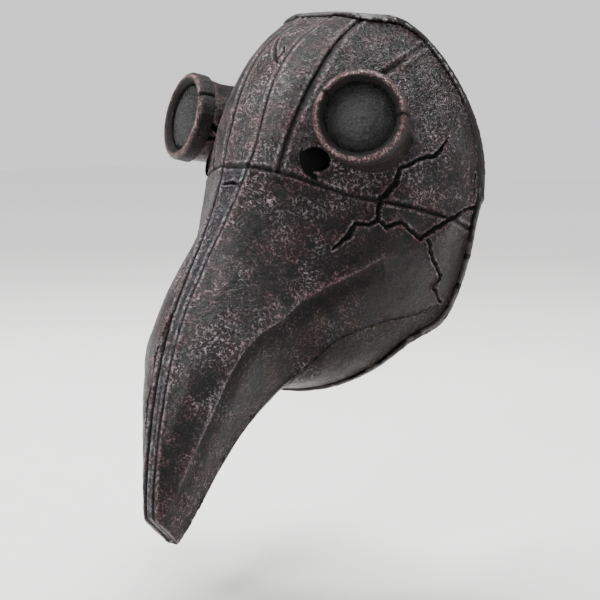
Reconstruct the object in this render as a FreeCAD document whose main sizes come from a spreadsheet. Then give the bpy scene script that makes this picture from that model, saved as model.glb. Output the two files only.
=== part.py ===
import FreeCAD, Part
import Sketcher
import math
import os

from FreeCAD import Vector, Rotation, Placement

# Plague doctor mask: a long-beaked face shell made of bonded skin panels, with
# raised goggles, a rolled rim and an elastic head strap on two pins.
# Frame: wearer faces -Y, +Z up, +X the wearer's left, origin in the middle of the head.

doc = FreeCAD.newDocument("PlagueDoctorMask")
sheet = doc.addObject("Spreadsheet::Sheet", "Sizes")

driving = [
    ("faceWidth", 212),        # widest outer width, at the ears
    ("beakReach", 140),        # nose bridge to beak tip, along the beak's chord
    ("wall", 2.8),             # skin thickness
    ("tipWall", 5),
    ("stripHalf", 12.8),       # half width of the crown strip
    ("rimBand", 5),            # length of the rolled rim along the skin
    ("rimProud", 1.3),         # how far the bead stands out on each side
    ("goggleSpacing", 155.4),  # between the two ring centres
    ("goggleForward", 70),
    ("goggleRise", 50),
    ("goggleYaw", 27),
    ("gogglePitch", 13),
    ("tubeLength", 60),        # before it is trimmed to the face
    ("boreRadius", 25),
    ("tubeWall", 6),
    ("ringStep", 2),           # how far the ring stands out past the tube
    ("ringDepth", 9),          # ring height ahead of the tube's front face
    ("ringSkirt", 4),          # how far the ring reaches back over the tube
    ("lensLap", 2),            # the lens's flange, out past the bore
    ("lensThick", 2.8),
    ("lensRise", 4.5),
    ("fitGap", 0.2),
    ("peepRadius", 9),         # the small hole the wearer looks through
    ("peepGap", 1.5),          # skin left between the hole and the goggle's tube
    ("peepTurn", 40.5),        # how far below level the hole lies, seen along the goggle
    ("strapWidth", 20),
    ("strapThick", 1.6),
    ("strapInset", 14.8),      # from the widest skin to the middle of a side arm
    ("strapPivot", 42),        # how far behind the origin the pins stand
    ("strapArm", 16),
    ("strapBow", 43),
    ("strapSlope", 33.2),      # width of each slanting run beside the straight middle
    ("strapBend", 14),
    ("moveGap", 0.4),
    ("pinRadius", 2),
    ("pinHead", 4.6),
    ("pinHeadThick", 1.8),
    ("pinDepth", 3.5),         # how deep the pin stands in its boss
    ("bossRadius", 7),
    ("sliderLength", 16),
    ("sliderWall", 2.2),
    ("sliderRest", 30),
]
for row, (name, value) in enumerate(driving, start=1):
    sheet.set("A%d" % row, name)
    sheet.set("B%d" % row, str(value))
    sheet.setAlias("B%d" % row, name)
doc.recompute()


def size(name):
    return float(sheet.get(name))


# ---------------------------------------------------------------- the head form
# One row per cross-section, from the beak tip up over the brow to behind the ears:
# ridge (y, z), chin (y, z), half width of the centre strip, then the outline's points as
# (half width, share of the way from ridge to chin): shoulder, cheek, crease, hollow, jaw, under.
sections = [
    ((-202, -214), (-179, -236), 3.0, (6, .05), (9, .20), (8, .40), (8, .70), (5, .97), (4, 1)),
    ((-201, -187), (-157, -212), 3.5, (9, .03), (13, .16), (14, .28), (12, .60), (11, .92), (8, 1)),
    ((-196, -156), (-136, -187), 4.0, (13, .02), (20, .14), (22, .28), (18, .55), (17, .87), (14, 1)),
    ((-187, -120), (-114, -161), 4.5, (18, .02), (28, .14), (32, .26), (27, .55), (26, .88), (22, 1)),
    ((-169, -78), (-95, -145), 5.0, (21, .02), (34, .16), (42, .30), (37, .62), (35, .88), (32, 1)),
    ((-139, -34), (-86, -142), 6.0, (19, .02), (35, .21), (49, .44), (44, .68), (44, .86), (42, 1)),
    ((-117, 0), (-80, -143), 9.0, (17, .03), (34, .25), (56, .50), (52, .68), (53, .82), (54, 1)),
    ((-100, 36), (-72, -145), 12.8, (26, .02), (41, .25), (63, .56), (60, .70), (61, .79), (62, 1)),
    ((-77, 81), (-58, -148), 12.8, (33, .01), (49, .24), (73, .60), (70, .70), (69, .79), (69, 1)),
    ((-40, 110), (-34, -149), 12.8, (41, .00), (61, .22), (86, .61), (82, .72), (78, .79), (76, 1)),
    ((0, 128), (0, -147), 12.8, (49, .00), (84, 0.19), (98, .60), (94, .70), (86, .80), (80, 1)),
    ((80, 136), (75, -125), 12.8, (56, .00), (105, 0.2), (106, .60), (100, .70), (92, .80), (84, 1)),
]
beakSections = 4      # the sections ahead of this one stretch with the beak
beakRoot = Vector(0, *sections[beakSections][0])
drawnReach = (Vector(0, *sections[0][0]) - beakRoot).Length
widen = size("faceWidth") / (2 * sections[-1][5][0])
stripWiden = size("stripHalf") / sections[-1][2]


def stretched(point):
    """A point on a beak section, moved with the beak's reach."""
    return beakRoot + (Vector(0, *point) - beakRoot) * (size("beakReach") / drawnReach)


def sectionFrame(number):
    ridge, chin = sections[number][0], sections[number][1]
    if number < beakSections:
        return stretched(ridge), stretched(chin)
    return Vector(0, *ridge), Vector(0, *chin)


def halfOutline(number):
    """Half width and depth below the ridge of each outline point, in mm."""
    ridge, chin = sectionFrame(number)
    depth = (chin - ridge).Length
    points = [(sections[number][2] * stripWiden, 0.0)]
    for halfWidth, share in sections[number][3:]:
        points.append((halfWidth * widen, share * depth))
    return points


def lineSlant(number, end):
    """Sine of the angle between the section's plane and the skin at its ridge or chin."""
    ahead = sectionFrame(max(number - 1, 0))[end]
    behind = sectionFrame(min(number + 1, len(sections) - 1))[end]
    ridge, chin = sectionFrame(number)
    run = (behind - ahead).normalize()
    down = (chin - ridge).normalize()
    return max(abs(run.cross(down).Length), 0.5)


def sectionWire(number, inset):
    """Closed outline of one section, eight edges, drawn inwards by inset."""
    ridge, chin = sectionFrame(number)
    depth = (chin - ridge).Length
    down = (chin - ridge).normalize()
    top = inset / lineSlant(number, 0)
    bottom = inset / lineSlant(number, 1)
    sideways = 1.2 * inset

    def place(halfWidth, drop, side):
        share = drop / depth
        drop = drop + top * (1 - share) - bottom * share
        return ridge + down * drop + Vector(side * max(halfWidth, 0.5), 0, 0)

    half = halfOutline(number)
    moved = [(half[0][0] - 0.3 * inset, half[0][1])]
    moved += [(w - sideways * min(1, w / 12), d) for w, d in half[1:]]
    edges = []
    middle = ridge + down * top
    last = chin - down * bottom
    for side in (1, -1):
        strip, shoulder, cheek, crease, hollow, jaw, under = [place(w, d, side) for w, d in moved]
        runs = [[middle, strip], [strip, shoulder, cheek, crease], [crease, hollow, jaw], [jaw, under, last]]
        if side < 0:
            runs = [run[::-1] for run in runs[::-1]]
        for run in runs:
            curve = Part.BezierCurve()
            curve.setPoles(run)
            edges.append(curve.toShape())
    return Part.Wire(edges)


def headForm(name, inset, tipShift):
    """A solid form through all the sections; tipShift closes the beak short of the tip."""
    wires = []
    for number in range(len(sections)):
        wire = doc.addObject("Part::Feature", "%sSection%d" % (name, number))
        wire.Shape = sectionWire(number, inset)
        if number == 0 and tipShift:
            ridge, chin = sectionFrame(0)
            inner = sum(sectionFrame(1), Vector()) - ridge - chin
            wire.Placement = Placement(inner.normalize() * tipShift, Rotation())
        if number == len(sections) - 1:
            wire.Placement = Placement(Vector(0, 3 * (inset > 0), 0), Rotation())
        wires.append(wire)
    form = doc.addObject("Part::Loft", name)
    form.Sections = wires
    form.Solid = True
    form.Ruled = False
    return form


def feature(name, shape):
    item = doc.addObject("Part::Feature", name)
    item.Shape = shape
    return item


def combine(kind, name, first, second):
    item = doc.addObject("Part::%s" % kind, name)
    item.Base = first
    item.Tool = second
    return item


def common(name, first, second):
    return combine("Common", name, first, second)


def cut(name, first, second):
    return combine("Cut", name, first, second)


reach = 600     # larger than the mask, for the cutting solids


def sidePrism(name, outline, smooth):
    """A cutting solid: a side-view outline carried across the whole width."""
    points = [Vector(-reach / 2, y, z) for y, z in outline]
    curve = Part.BSplineCurve()
    curve.interpolate(points[:smooth])
    edges = [curve.toShape()]
    corners = [points[smooth - 1]] + points[smooth:] + [points[0]]
    edges += [Part.makeLine(a, b) for a, b in zip(corners[:-1], corners[1:])]
    return feature(name, Part.Face(Part.Wire(edges)).extrude(Vector(reach, 0, 0)))


def frontPrism(name, outline):
    """A cutting solid: a front-view outline carried from front to back."""
    points = [Vector(x, -reach / 2, z) for x, z in outline]
    face = Part.Face(Part.makePolygon(points + [points[0]]))
    return feature(name, face.extrude(Vector(0, reach, 0)))


outerForm = headForm("OuterForm", 0, 0)
innerForm = headForm("InnerForm", size("wall"), size("tipWall"))
skin = cut("Skin", outerForm, innerForm)

# The rim seen from the side, from the crown down behind the ears and in under the jaw.
rimLine = [(-9, 140), (-6, 127), (17, 124), (36, 116), (46, 97), (55, 62), (59, 20), (53, -20),
           (52, -50), (43, -80), (23, -104), (-8, -115), (-27, -130), (-51, -145), (-72, -167)]


def rimOutline(forward):
    """The rim line moved forward along its own normal, closed around the front of the mask."""
    moved = []
    for i, (y, z) in enumerate(rimLine):
        a = rimLine[max(i - 1, 0)]
        b = rimLine[min(i + 1, len(rimLine) - 1)]
        run = math.hypot(b[0] - a[0], b[1] - a[1])
        moved.append((y + forward * (b[1] - a[1]) / run, z - forward * (b[0] - a[0]) / run))
    return moved + [(-110, -300), (-400, -300), (-400, 200), (-60, 200)]


inFront = sidePrism("InFrontOfRim", rimOutline(0), len(rimLine))
panelReach = sidePrism("PanelReach", rimOutline(size("rimBand")), len(rimLine))
rimZone = cut("RimZone", inFront, panelReach)
panels = common("Panels", skin, panelReach)

rimOuter = headForm("RimOuterForm", -size("rimProud"), 0)
rimInner = headForm("RimInnerForm", size("wall") + size("rimProud"), size("tipWall"))
rimSkin = cut("RimSkin", rimOuter, rimInner)
rimBead = common("rim_bead", rimSkin, rimZone)

# ---------------------------------------------------------------- seams between the panels
browSeam = [(-125, 18), (-108, 16), (-84, 6), (-56, -5), (-29, -11), (7, -21), (37, -30), (80, -42)]
aboveBrow = sidePrism("AboveBrow", browSeam + [(90, 250), (-300, 250), (-300, 25)], len(browSeam))
stripEdge = [(250, 12.8), (30, 12.8), (0, 9.2), (-34, 6.2), (-78, 5.1), (-120, 4.6), (-156, 4.1), (-250, 3.0)]
stripSide = []
for height, half in stripEdge:
    stripSide.append((half * stripWiden, height))
stripZone = frontPrism("StripZone", stripSide + [(-x, z) for x, z in stripSide[::-1]])

jawLine = []
for number in range(len(sections)):
    ridge, chin = sectionFrame(number)
    jawLine.append(ridge + (chin - ridge) * sections[number][7][1])
jawOutline = [(p.y, p.z) for p in jawLine]
tipRun = jawLine[0] - jawLine[1]
jawOutline.insert(0, (jawLine[0].y + tipRun.y, jawLine[0].z + tipRun.z))
jawOutline.append((140, -55))
underZone = sidePrism("UnderJaw", jawOutline + [(140, -400), (-150, -400)], len(jawOutline))

upper = common("Upper", panels, aboveBrow)
lower = cut("Lower", panels, aboveBrow)
crownStrip = common("crown_strip", upper, stripZone)
upperSides = cut("UpperSides", upper, stripZone)
face = cut("LowerFace", lower, underZone)
under = common("Under", lower, underZone)
bridgeStrip = common("bridge_strip", face, stripZone)
cheeks = cut("Cheeks", face, stripZone)

leftHalf = feature("LeftHalf", Part.makeBox(reach, 2 * reach, 2 * reach, Vector(0, -reach, -reach)))
cheekLeft = common("cheek_panel_left", cheeks, leftHalf)

# The underside parts where the beak meets the throat.
throatCut = feature("ThroatSide", Part.makeBox(reach, reach, reach, Vector(-reach / 2, 0, -reach / 2)))
throatCut.Placement = Placement(Vector(0, -92, -140), Rotation(Vector(1, 0, 0), 25))
beakUnderside = cut("beak_underside", under, throatCut)
throat = common("throat_panel", under, throatCut)

foreheadSeam = [(34, 250), (34, 80), (33, 50), (29, 14), (24, -40)]
foreheadZone = frontPrism("ForeheadZone", foreheadSeam + [(-x, z) for x, z in foreheadSeam[::-1]])
browLeft = common("brow_panel_left", common("BrowPair", upperSides, foreheadZone), leftHalf)
eyeBlank = common("EyeBlank", cut("EyePair", upperSides, foreheadZone), leftHalf)


# ---------------------------------------------------------------- turned pieces
def turnedBody(name, corners):
    """A body turned about its own Z axis from a half profile of (radius, height) expressions."""
    body = doc.addObject("PartDesign::Body", name)
    plane = [item for item in body.Origin.OriginFeatures if item.Role == "XZ_Plane"][0]
    axis = [item for item in body.Origin.OriginFeatures if item.Role == "Z_Axis"][0]
    sketch = body.newObject("Sketcher::SketchObject", name + "Profile")
    sketch.AttachmentSupport = [(plane, "")]
    sketch.MapMode = "FlatFace"
    places = [Vector(evaluate(r), evaluate(z), 0) for r, z in corners]
    count = len(places)
    for i in range(count):
        sketch.addGeometry(Part.LineSegment(places[i], places[(i + 1) % count]), False)
    for i in range(count):
        sketch.addConstraint(Sketcher.Constraint("Coincident", i, 2, (i + 1) % count, 1))
    for i, (radius, height) in enumerate(corners):
        if radius == "0":
            sketch.addConstraint(Sketcher.Constraint("PointOnObject", i, 1, -2))
        else:
            number = sketch.addConstraint(Sketcher.Constraint("DistanceX", -1, 1, i, 1, places[i].x))
            sketch.setExpression("Constraints[%d]" % number, bound(radius))
        if height == "0":
            sketch.addConstraint(Sketcher.Constraint("PointOnObject", i, 1, -1))
        else:
            number = sketch.addConstraint(Sketcher.Constraint("DistanceY", -1, 1, i, 1, places[i].y))
            sketch.setExpression("Constraints[%d]" % number, bound(height))
    turn = body.newObject("PartDesign::Revolution", name + "Turn")
    turn.Profile = sketch
    turn.ReferenceAxis = (axis, [""])
    turn.Angle = 360
    body.Tip = turn
    return body


def words(expression):
    return expression.replace("(", " ( ").replace(")", " ) ").split()


def evaluate(expression):
    total = " ".join(str(size(w)) if w[0].isalpha() else w for w in words(expression))
    tokens = total.split()
    value = float(tokens[0])
    for sign, number in zip(tokens[1::2], tokens[2::2]):
        value = value + float(number) if sign == "+" else value - float(number)
    return value


def bound(expression):
    return " ".join("Sizes." + w if w[0].isalpha() else w for w in words(expression))


yaw = math.radians(size("goggleYaw"))
pitch = math.radians(size("gogglePitch"))
sight = Vector(math.sin(yaw) * math.cos(pitch), -math.cos(yaw) * math.cos(pitch), math.sin(pitch))
ringCentre = Vector(size("goggleSpacing") / 2 * widen, -size("goggleForward"), size("goggleRise"))
tubeBase = ringCentre - sight * (size("tubeLength") + size("ringDepth") / 2)
goggleSeat = Placement(tubeBase, Rotation(Vector(0, 0, 1), sight))

tubeRadius = "boreRadius + tubeWall"
ringRadius = tubeRadius + " + ringStep"
lensFlange = "boreRadius + lensLap"
tubeBlank = turnedBody("TubeBlank", [("0", "0"), (tubeRadius, "0"), (tubeRadius, "tubeLength"),
                                     ("0", "tubeLength")])
tubeBore = turnedBody("TubeBore", [("0", "0"), ("boreRadius", "0"), ("boreRadius", "tubeLength"),
                                   ("0", "tubeLength")])
ring = turnedBody("RingTurned", [
    (tubeRadius + " + fitGap", "tubeLength - ringSkirt"),
    (ringRadius, "tubeLength - ringSkirt"),
    (ringRadius, "tubeLength + ringDepth - 3"),
    (ringRadius + " - 1.5", "tubeLength + ringDepth - 0.8"),
    (ringRadius + " - 4", "tubeLength + ringDepth"),
    ("boreRadius + 2.5", "tubeLength + ringDepth - 1"),
    ("boreRadius", "tubeLength + ringDepth - 4"),
    ("boreRadius", "tubeLength + lensThick"),
    (lensFlange + " + fitGap", "tubeLength + lensThick"),
    (lensFlange + " + fitGap", "tubeLength"),
    (tubeRadius + " + fitGap", "tubeLength"),
])
lens = turnedBody("LensTurned", [
    ("0", "tubeLength"),
    (lensFlange, "tubeLength"),
    (lensFlange, "tubeLength + lensThick"),
    ("boreRadius - fitGap", "tubeLength + lensThick"),
    ("boreRadius - 3", "tubeLength + lensThick + 1.8"),
    ("boreRadius - 9", "tubeLength + lensThick + 3.4"),
    ("boreRadius - 16", "tubeLength + lensThick + 4.2"),
    ("0", "tubeLength + lensThick + lensRise"),
])
for body in (tubeBlank, tubeBore, ring, lens):
    body.Placement = goggleSeat

peep = doc.addObject("Part::Cylinder", "PeepHole")
peep.setExpression("Radius", "Sizes.peepRadius")
peep.setExpression("Height", "Sizes.tubeLength")
across = sight.cross(Vector(0, 0, 1)).normalize()
lift = across.cross(sight).normalize()
peepTurn = math.radians(size("peepTurn"))
peepInset = evaluate(tubeRadius) + size("peepGap") + size("peepRadius")
peepStart = tubeBase + (across * math.cos(peepTurn) - lift * math.sin(peepTurn)) * peepInset
peep.Placement = Placement(peepStart, Rotation(Vector(0, 0, 1), sight))

eyeLeft = cut("eye_panel_left", cut("EyeWithGoggle", eyeBlank, tubeBlank), peep)
tubeShell = cut("TubeShell", tubeBlank, tubeBore)
tubeLeft = cut("goggle_tube_left", tubeShell, innerForm)

# ---------------------------------------------------------------- strap and its pins
pivot = Vector(0, size("strapPivot"), 0)
strapSpan = size("faceWidth") / 2 - size("strapInset")
bossStart = strapSpan + size("strapThick") / 2 + size("moveGap")
bossLength = size("faceWidth") / 2 - bossStart + 10
boss = doc.addObject("Part::Cylinder", "BossBlank")
boss.setExpression("Radius", "Sizes.bossRadius")
boss.Height = bossLength
boss.Placement = Placement(pivot + Vector(bossStart, 0, 0), Rotation(Vector(0, 1, 0), 90))
bossBody = common("BossInside", boss, innerForm)

headStart = strapSpan - size("strapThick") / 2 - size("moveGap") - size("pinHeadThick")
pinEnd = "pinHeadThick + moveGap + strapThick + moveGap + pinDepth"
pin = turnedBody("PinTurned", [("0", "0"), ("pinHead", "0"), ("pinHead", "pinHeadThick"),
                               ("pinRadius", "pinHeadThick"), ("pinRadius", pinEnd), ("0", pinEnd)])
pin.Placement = Placement(pivot + Vector(headStart, 0, 0), Rotation(Vector(0, 1, 0), 90))
bossLeft = cut("strap_boss_left", bossBody, pin)


def bandPath(side):
    """Corner points of one face of the strap, seen from above; side is +1 outer, -1 inner."""
    shift = side * size("strapThick") / 2
    arm = size("strapPivot") + size("strapArm")
    back = size("strapPivot") + size("strapBow")
    middle = strapSpan - size("strapSlope")
    slope = math.atan2(back - arm, size("strapSlope"))
    armShift = shift * math.tan((math.pi / 2 - slope) / 2)
    midShift = shift * math.tan(slope / 2)
    start = size("strapPivot") - size("strapWidth") / 2
    outer = strapSpan + shift
    half = [(outer, start), (outer, arm + armShift), (middle + midShift, back + shift)]
    return half + [(-x, y) for x, y in half[::-1]]


outside = bandPath(1)
inside = bandPath(-1)
loop = [Vector(x, y, -size("strapWidth") / 2) for x, y in outside + inside[::-1]]
band = Part.Face(Part.makePolygon(loop + [loop[0]])).extrude(Vector(0, 0, size("strapWidth")))
for path, side in ((outside, 1), (inside, -1)):
    bends = []
    for edge in band.Edges:
        first, last = edge.Vertexes[0].Point, edge.Vertexes[-1].Point
        upright = abs(first.x - last.x) < 0.01 and abs(first.y - last.y) < 0.01
        if upright and any(math.hypot(first.x - x, first.y - y) < 0.05 for x, y in path[1:5]):
            bends.append(edge)
    band = band.makeFillet(size("strapBend") + side * size("strapThick") / 2, bends)
bandBlank = feature("BandBlank", band)
pinHole = doc.addObject("Part::Cylinder", "PinHoles")
pinHole.setExpression("Radius", "Sizes.pinRadius + Sizes.moveGap")
pinHole.Height = reach
pinHole.Placement = Placement(pivot - Vector(reach / 2, 0, 0), Rotation(Vector(0, 1, 0), 90))
strapBand = cut("strap_band", bandBlank, pinHole)

back = size("strapPivot") + size("strapBow")
sleeve = doc.addObject("Part::Box", "SliderBlank")
sleeve.setExpression("Length", "Sizes.sliderLength")
sleeve.setExpression("Width", "Sizes.strapThick + 2 * Sizes.moveGap + 2 * Sizes.sliderWall")
sleeve.setExpression("Height", "Sizes.strapWidth + 2 * Sizes.moveGap + 2 * Sizes.sliderWall")
slot = doc.addObject("Part::Box", "SliderSlot")
slot.Length = reach
slot.setExpression("Width", "Sizes.strapThick + 2 * Sizes.moveGap")
slot.setExpression("Height", "Sizes.strapWidth + 2 * Sizes.moveGap")
doc.recompute()
sleeve.Placement.Base = Vector(size("sliderRest"), back - sleeve.Width.Value / 2, -sleeve.Height.Value / 2)
slot.Placement.Base = Vector(-reach / 2, back - slot.Width.Value / 2, -slot.Height.Value / 2)
slider = cut("strap_slider", sleeve, slot)


# ---------------------------------------------------------------- pairs and output
def mirrored(name, source):
    item = doc.addObject("Part::Mirroring", name)
    item.Source = source
    item.Normal = Vector(1, 0, 0)
    item.Base = Vector(0, 0, 0)
    return item


kept = {
    "crown_strip": crownStrip, "bridge_strip": bridgeStrip, "beak_underside": beakUnderside,
    "throat_panel": throat, "rim_bead": rimBead, "strap_band": strapBand, "strap_slider": slider,
}
pairs = {
    "brow_panel": browLeft, "eye_panel": eyeLeft, "cheek_panel": cheekLeft, "goggle_tube": tubeLeft,
    "goggle_ring": ring, "lens": lens, "strap_boss": bossLeft, "strap_pin": pin,
}
for name, source in pairs.items():
    kept[name + "_left"] = source
    kept[name + "_right"] = mirrored(name + "_right", source)
doc.recompute()

for item in doc.Objects:
    if "Invalid" in item.State or "Error" in item.State:
        raise RuntimeError("%s did not build: %s" % (item.Name, item.State))

os.makedirs("parts", exist_ok=True)
for name, item in kept.items():
    item.Label = name
    shape = item.Shape
    if shape.isNull() or not shape.isValid():
        raise RuntimeError("%s has no valid shape" % name)
    solids = sorted(shape.Solids, key=lambda solid: -solid.Volume)
    print("%-20s %2d solids %9.0f mm3  x %6.1f %6.1f  y %6.1f %6.1f  z %6.1f %6.1f" % (
        name, len(solids), shape.Volume, shape.BoundBox.XMin, shape.BoundBox.XMax,
        shape.BoundBox.YMin, shape.BoundBox.YMax, shape.BoundBox.ZMin, shape.BoundBox.ZMax))
    shape.exportStep("parts/%s.step" % name)
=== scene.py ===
import math

import bpy
import numpy as np
from mathutils import Matrix, Vector, noise
from mathutils.bvhtree import BVHTree


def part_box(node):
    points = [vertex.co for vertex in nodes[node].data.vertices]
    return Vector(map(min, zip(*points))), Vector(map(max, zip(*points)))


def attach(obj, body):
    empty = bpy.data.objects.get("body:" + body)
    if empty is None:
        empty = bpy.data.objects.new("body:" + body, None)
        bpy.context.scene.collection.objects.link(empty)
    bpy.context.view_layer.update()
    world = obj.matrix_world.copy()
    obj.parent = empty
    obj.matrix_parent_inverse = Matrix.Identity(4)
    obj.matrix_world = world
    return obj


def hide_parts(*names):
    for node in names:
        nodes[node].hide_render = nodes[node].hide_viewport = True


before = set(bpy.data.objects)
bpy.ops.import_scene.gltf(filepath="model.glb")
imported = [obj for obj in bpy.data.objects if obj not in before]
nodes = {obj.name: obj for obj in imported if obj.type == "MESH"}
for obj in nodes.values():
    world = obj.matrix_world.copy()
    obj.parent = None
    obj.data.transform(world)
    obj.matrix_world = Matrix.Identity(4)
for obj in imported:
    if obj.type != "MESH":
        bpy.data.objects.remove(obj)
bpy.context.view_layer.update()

mm = 0.001

skinNodes = [
    "crown_strip", "bridge_strip", "brow_panel_left", "brow_panel_right",
    "eye_panel_left", "eye_panel_right", "cheek_panel_left", "cheek_panel_right",
    "beak_underside", "throat_panel",
]

skinSettings = {
    "voxel": 1.15,          # mm between mesh points
    "smoothPasses": 3,
    "wall": 2.8,
    "reliefSize": 8.0,      # mm, the broad hammered wrinkles
    "reliefHeight": 0.30,
    "fineZone": 2.2,        # mm each side of a crack where the mesh is made finer
}

# The line inside the shell that the skin faces away from, tip to crown, in mm (y, z).
spine = np.array([(-190, -225), (-179, -200), (-166, -171), (-150, -140), (-132, -112), (-112, -88),
                  (-86, -60), (-50, -30), (-20, -10), (0, 0), (60, 0)], float)

# How each kind of seam is shaped: depth and width of the groove in mm, height of its lip.
seamStyles = {
    ("brow_panel", "eye_panel"): dict(depth=1.7, width=2.3, lip=0.35),
    ("crown_strip", "brow_panel"): dict(depth=0.8, width=1.8, lip=0.45),
    ("upper", "lower"): dict(depth=1.3, width=2.2, lip=0.3),
    ("bridge_strip", "cheek_panel"): dict(depth=0.7, width=1.6, lip=0.6),
    ("cheek_panel", "under"): dict(depth=-0.4, width=2.5, lip=0.0),
    ("rim", "skin"): dict(depth=0.8, width=1.6, lip=0.1),
    ("goggle", "skin"): dict(depth=-1.6, width=6.0, lip=0.0),
}

# The long crease on each side of the beak and the jaw ridge under it, from cheek to tip, in mm.
creaseLine = [(87, -32, -49), (82, -46, -48), (71, -70, -60), (60, -90, -68), (53, -104, -75),
              (47, -119, -87), (44, -138, -94), (40, -151, -103), (35, -161, -119), (27, -169, -145),
              (19, -180, -174), (14, -187, -194)]
creaseShape = {"ridge": 1.4, "hollow": 4.2, "reach": 8.0}

# Cracks in the skin: the corners of each as (x, y, z, half width) in mm.
# The script roughens the line between them.
cracks = {
    "temple": [(92, 23, 34, .2), (91, 8, 22, 1.4), (87, -6, 20, .9), (82, -22, 14, 1.2), (80, -25, 4, 1.8),
               (75, -40, -8, 1.6), (76, -44, -22, 1.3)],
    "beakSide": [(76, -44, -22, 1.0), (73, -51, -25, .8), (67, -60, -24, 1.1), (67, -66, -31, 1.7),
                 (61, -78, -41, .2)],
    "cheek": [(76, -44, -22, 1.0), (80, -39, -27, 1.1), (86, -27, -24, 1.1), (94, -15, -37, 1.1),
              (97, -1, -30, 1.3), (101, 30, -17, .9), (103, 50, -17, .9)],
    "jaw": [(96, -8, -38, 1.2), (95, -2, -51, 1.1), (94, 14, -66, 1.2), (91, 7, -74, 1.0), (87, 24, -90, .6)],
    "rimSide": [(102, 46, 8, .4), (102, 41, -12, .5)],
    "crownA": [(-6, -42, 109, .5), (0, -39, 110, 1.0), (4, -34, 114, .4)],
    "crownB": [(-6, -50, 104, .4), (-3, -58, 98, .9), (3, -67, 91, 1.1), (9, -71, 87, .4)],
    "crownC": [(5, -58, 98, .4), (9, -63, 94, .6), (7, -69, 90, .3)],
    "bridge": [(-6, -115, 4, .5), (1, -115, 5, 1.0), (7, -115, 5, .4)],
    "ridgeA": [(-5, -171, -81, .2), (-8, -177, -95, .6)],
    "ridgeB": [(-8, -179, -99, .3), (-10, -182, -110, .7), (-9, -186, -120, .3)],
    "ridgeC": [(-8, -189, -128, .2), (-10, -191, -140, .7), (-7, -196, -159, .2)],
}
crackShape = {"deep": 2.3, "lip": 0.7, "wander": 1.3, "step": 2.0, "wider": 0.4}
# The far cheek carries its own, shorter set.
for source, keep in (("cheek", 6), ("jaw", 4), ("beakSide", 4)):
    cracks[source + "Far"] = [(-x, y + 4, z - 6, 0.8 * half) for x, y, z, half in cracks[source][:keep]]

# A dart runs from each goggle up to the rim: a soft groove with a raised lower edge.
dart = {"line": [(62, -22, 79), (66, 0, 89), (66, 34, 103)], "depth": 1.3, "width": 2.2, "lip": 0.5}

goggle = {"centre": (77.7, -70.0, 50.0), "yaw": 27, "pitch": 13}
peep = {"centre": (46.3, -78.0, 20.7), "radius": 9.0, "ragged": 0.9, "lip": 0.5}


def deselectAll():
    if bpy.context.object and bpy.context.object.mode != "OBJECT":
        bpy.ops.object.mode_set(mode="OBJECT")
    bpy.ops.object.select_all(action="DESELECT")


def pickOnly(piece):
    deselectAll()
    piece.select_set(True)
    bpy.context.view_layer.objects.active = piece


def applyModifier(piece, kind, **settings):
    pickOnly(piece)
    modifier = piece.modifiers.new(kind.title(), kind)
    for name, value in settings.items():
        setattr(modifier, name, value)
    bpy.ops.object.modifier_apply(modifier=modifier.name)


def copyOfNode(node, name):
    piece = bpy.data.objects.new(name, nodes[node].data.copy())
    bpy.context.scene.collection.objects.link(piece)
    piece.data.materials.clear()
    pickOnly(piece)
    bpy.ops.object.mode_set(mode="EDIT")
    bpy.ops.mesh.select_all(action="SELECT")
    bpy.ops.mesh.remove_doubles(threshold=0.01 * mm)
    bpy.ops.object.mode_set(mode="OBJECT")
    return piece


def evenMesh(piece, node, voxel, passes, hug=True):
    piece.data.remesh_voxel_size = voxel * mm
    pickOnly(piece)
    bpy.ops.object.voxel_remesh()
    applyModifier(piece, "SMOOTH", factor=0.5, iterations=passes)
    if hug:
        applyModifier(piece, "SHRINKWRAP", target=nodes[node], wrap_method="NEAREST_SURFACEPOINT")
    bpy.ops.object.shade_smooth()


def readPoints(mesh):
    points = np.empty(len(mesh.vertices) * 3)
    mesh.vertices.foreach_get("co", points)
    return points.reshape(-1, 3) / mm


def writePoints(mesh, points):
    mesh.vertices.foreach_set("co", (points * mm).ravel())
    mesh.update()


def readNormals(mesh):
    normals = np.empty(len(mesh.vertices) * 3)
    mesh.vertices.foreach_get("normal", normals)
    return normals.reshape(-1, 3)


def writeMask(mesh, name, values):
    layer = mesh.attributes.new(name, "FLOAT", "POINT")
    layer.data.foreach_set("value", np.clip(values, 0, 1).astype(np.float32))


def outwards(points):
    # direction from the nearest place on the spine to each point
    best = np.full(len(points), 1e9)
    away = np.zeros_like(points)
    flat = points[:, 1:]
    for a, b in zip(spine[:-1], spine[1:]):
        run = b - a
        t = np.clip((flat - a) @ run / (run @ run), 0, 1)
        foot = a + t[:, None] * run
        gap = np.hypot(points[:, 0], np.linalg.norm(flat - foot, axis=1))
        near = gap < best
        best[near] = gap[near]
        away[near, 0] = points[near, 0]
        away[near, 1:] = (flat - foot)[near]
    return away / np.linalg.norm(away, axis=1)[:, None]


def buildOuterSkin():
    # one search tree over the outward faces of every panel
    corners, faces = [], []
    for node in skinNodes:
        mesh = nodes[node].data
        centres = np.array([p.center for p in mesh.polygons]) / mm
        facing = np.array([p.normal for p in mesh.polygons])
        outer = (outwards(centres) * facing).sum(axis=1) > 0.25
        start = len(corners)
        corners += [v.co / mm for v in mesh.vertices]
        faces += [[start + i for i in p.vertices] for p, keep in zip(mesh.polygons, outer) if keep]
    return BVHTree.FromPolygons(corners, faces)


outerSkin = buildOuterSkin()
nodeTrees = {}


def nodeTree(node):
    if node not in nodeTrees:
        mesh = nodes[node].data
        nodeTrees[node] = BVHTree.FromPolygons([v.co / mm for v in mesh.vertices],
                                               [list(p.vertices) for p in mesh.polygons])
    return nodeTrees[node]


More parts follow.
